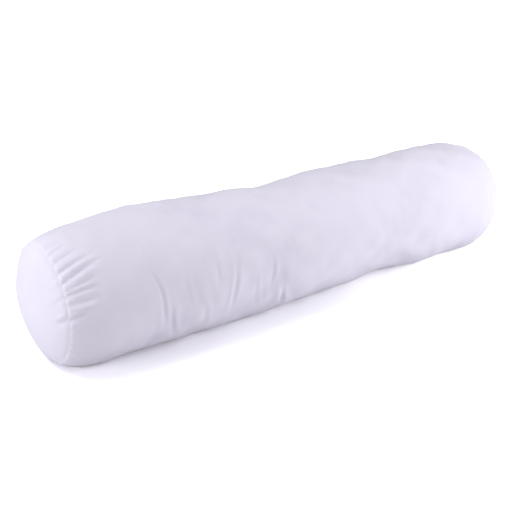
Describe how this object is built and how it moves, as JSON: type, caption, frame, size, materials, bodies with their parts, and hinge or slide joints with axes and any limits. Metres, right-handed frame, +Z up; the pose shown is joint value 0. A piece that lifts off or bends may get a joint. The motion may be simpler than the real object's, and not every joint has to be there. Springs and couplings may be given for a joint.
{
  "type": "bolster pillow",
  "caption": "Long round bolster pillow: a soft white cloth tube with gathered, sewn-in round end caps, stuffed with rolled fibre wadding.",
  "frame": {"origin": "middle of the flattened strip on which the pillow rests, at the level of what it lies on", "axes": "+X along the pillow towards its far end, +Y towards the back, where the long seam and the care label are, +Z up"},
  "size_m": [1, 0.2228, 0.2133],
  "materials": {
    "cover_cloth": "soft brushed white cloth, matt",
    "sewing_thread": "white spun thread, satin",
    "overlock_thread": "white textured thread, matt",
    "label_tape": "smooth blank woven tape, satin",
    "fibre_filling": "carded white fibre, matt"
  },
  "bodies": {
    "pillow": {"side_panel": "cover_cloth", "near_end_cap": "cover_cloth", "far_end_cap": "cover_cloth", "near_end_gathering_thread": "sewing_thread", "far_end_gathering_thread": "sewing_thread", "near_end_needle_thread": "sewing_thread", "far_end_needle_thread": "sewing_thread", "near_end_bobbin_thread": "sewing_thread", "far_end_bobbin_thread": "sewing_thread", "near_end_overlock": "overlock_thread", "far_end_overlock": "overlock_thread", "long_seam_needle_thread": "sewing_thread", "long_seam_bobbin_thread": "sewing_thread", "long_seam_overlock": "overlock_thread", "closing_stitches": "sewing_thread", "wadding_roll": "fibre_filling", "near_end_fill": "fibre_filling", "far_end_fill": "fibre_filling"},
    "label": {"care_label": "label_tape"}
  },
  "joints": [
    {"name": "label_swing", "type": "hinge", "parent": "pillow", "child": "label", "pos_m": [0.25, 0.11045, 0.08244], "axis": [1, 0, 0], "range_deg": [-10, 150]}
  ]
}
